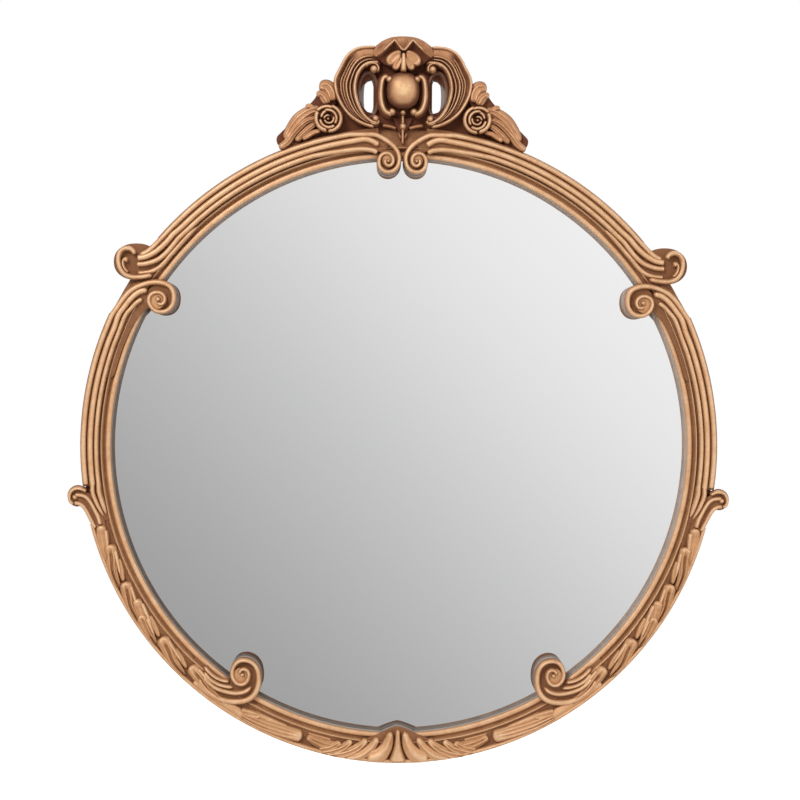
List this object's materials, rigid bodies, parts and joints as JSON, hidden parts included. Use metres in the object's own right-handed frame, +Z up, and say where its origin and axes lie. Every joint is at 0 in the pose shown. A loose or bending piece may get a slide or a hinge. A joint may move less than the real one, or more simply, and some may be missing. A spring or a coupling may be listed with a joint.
{
  "type": "convex wall mirror",
  "caption": "Round domed wall mirror in a reeded and scrolled gilt frame with a pierced crest, held at the back by turn buttons and hung on two strap rings.",
  "frame": {"origin": "on the wall, halfway between the pivots of the two hanging rings, which is where the mirror is held", "axes": "+Z up towards the crest, the glass faces -Y and the wall is the plane Y = 0, +X to the right as seen from the front"},
  "size_m": [0.8164, 0.059, 0.8988],
  "materials": {
    "gilded_wood": "antique gold leaf rubbed over red-brown, satin",
    "dark_gilded_wood": "red-brown ground with rubbed gold, dull",
    "gilded_resin": "antique gold over cast resin, darkened in the hollows, satin",
    "silvered_glass": "polished, silvered on its back",
    "spacer": "matt closed-cell foam",
    "backing_board": "raw pressed board",
    "brass": "plain, slightly dulled",
    "steel": "zinc plated",
    "felt": "dense wool felt"
  },
  "bodies": {
    "frame": {"base_ring": "gilded_wood", "crest_backplate": "dark_gilded_wood", "upper_arch_right": "gilded_resin", "upper_arch_left": "gilded_resin", "side_scroll_right": "gilded_resin", "side_scroll_left": "gilded_resin", "ear_scroll_right": "gilded_resin", "ear_scroll_left": "gilded_resin", "leaf_swag_right": "gilded_resin", "leaf_swag_left": "gilded_resin", "bottom_volute_right": "gilded_resin", "bottom_volute_left": "gilded_resin", "bottom_rail_right": "gilded_resin", "bottom_rail_left": "gilded_resin", "base_leaf": "gilded_resin", "c_scroll_right": "gilded_resin", "c_scroll_left": "gilded_resin", "crest_shell": "gilded_resin", "cartouche_boss": "gilded_resin", "cartouche_strap_right": "gilded_resin", "cartouche_strap_left": "gilded_resin", "pendant_drop": "gilded_resin", "rose_right": "gilded_resin", "rose_left": "gilded_resin", "leaf_spray_right": "gilded_resin", "leaf_spray_left": "gilded_resin", "mirror_glass": "silvered_glass", "glass_spacer": "spacer", "backing_board": "backing_board", "button_screw_1": "brass", "button_screw_2": "brass", "button_screw_3": "brass", "button_screw_4": "brass", "button_screw_5": "brass", "button_screw_6": "brass", "hanger_strap_right": "brass", "hanger_strap_left": "brass", "hanger_screw_right_1": "brass", "hanger_screw_right_2": "brass", "hanger_screw_left_1": "brass", "hanger_screw_left_2": "brass", "mending_plate": "steel", "mending_screw_1": "steel", "mending_screw_2": "steel", "mending_screw_3": "steel", "mending_screw_4": "steel", "wall_bumper_1": "felt", "wall_bumper_2": "felt", "wall_bumper_3": "felt", "wall_bumper_4": "felt"},
    "ring_right": {"hanger_ring_right": "brass"},
    "ring_left": {"hanger_ring_left": "brass"},
    "button_1": {"turn_button_1": "brass"},
    "button_2": {"turn_button_2": "brass"},
    "button_3": {"turn_button_3": "brass"},
    "button_4": {"turn_button_4": "brass"},
    "button_5": {"turn_button_5": "brass"},
    "button_6": {"turn_button_6": "brass"}
  },
  "joints": [
    {"name": "ring_right_swing", "type": "hinge", "parent": "frame", "child": "ring_right", "pos_m": [0.32757, -0.00355, 0], "axis": [0.866, 0, 0.5], "range_deg": [0, 180]},
    {"name": "ring_left_swing", "type": "hinge", "parent": "frame", "child": "ring_left", "pos_m": [-0.32757, -0.00355, 0], "axis": [0.866, 0, -0.5], "range_deg": [0, 180]},
    {"name": "button_1_turn", "type": "hinge", "parent": "frame", "child": "button_1", "pos_m": [-0.18912, -0.0057, -0.5167], "axis": [0, 1, 0], "range_deg": [-90, 90]},
    {"name": "button_2_turn", "type": "hinge", "parent": "frame", "child": "button_2", "pos_m": [-0.37825, -0.0057, -0.18912], "axis": [0, 1, 0], "range_deg": [-90, 90]},
    {"name": "button_3_turn", "type": "hinge", "parent": "frame", "child": "button_3", "pos_m": [-0.18912, -0.0057, 0.13845], "axis": [0, 1, 0], "range_deg": [-90, 90]},
    {"name": "button_4_turn", "type": "hinge", "parent": "frame", "child": "button_4", "pos_m": [0.18912, -0.0057, 0.13845], "axis": [0, 1, 0], "range_deg": [-90, 90]},
    {"name": "button_5_turn", "type": "hinge", "parent": "frame", "child": "button_5", "pos_m": [0.37825, -0.0057, -0.18912], "axis": [0, 1, 0], "range_deg": [-90, 90]},
    {"name": "button_6_turn", "type": "hinge", "parent": "frame", "child": "button_6", "pos_m": [0.18912, -0.0057, -0.5167], "axis": [0, 1, 0], "range_deg": [-90, 90]}
  ]
}
